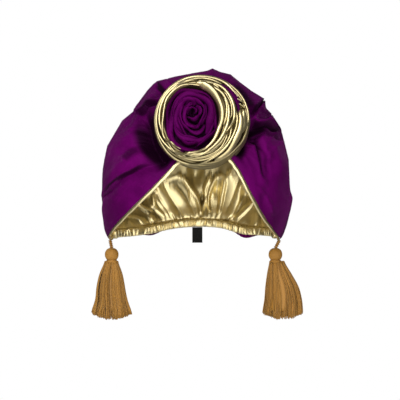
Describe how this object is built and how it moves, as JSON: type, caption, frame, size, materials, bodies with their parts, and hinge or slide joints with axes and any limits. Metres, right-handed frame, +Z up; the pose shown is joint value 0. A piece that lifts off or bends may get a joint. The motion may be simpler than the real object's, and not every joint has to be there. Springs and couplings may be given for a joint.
{
  "type": "rosette turban with ear tassels",
  "caption": "Lined head wrap gathered into a large front rosette, with an open front, an elastic nape and a tassel at each ear.",
  "frame": {"origin": "inside of the crown on the head's axis, where a head carries the cap", "axes": "+Z up, front towards -Y, +X to the right of someone who looks at the front"},
  "size_m": [0.2311, 0.2414, 0.2738],
  "materials": {
    "violet_silk": "dark violet slubbed silk with a low sheen",
    "gold_lame": "soft gold foil cloth with a bright sheen",
    "gold_thread": "ochre rayon thread",
    "black_satin": "plain black satin tape"
  },
  "bodies": {
    "root": {"outer_cloth": "violet_silk", "lining": "gold_lame", "nape_casing": "gold_lame", "front_piping_left": "gold_lame", "front_piping_right": "gold_lame", "rose_wrap_outer": "gold_lame", "rose_wrap_inner": "gold_lame", "rose_centre": "violet_silk", "label": "black_satin", "tassel_loop_left": "gold_thread", "tassel_head_left": "gold_thread", "tassel_skirt_left": "gold_thread", "tassel_loop_right": "gold_thread", "tassel_head_right": "gold_thread", "tassel_skirt_right": "gold_thread"}
  },
  "joints": []
}
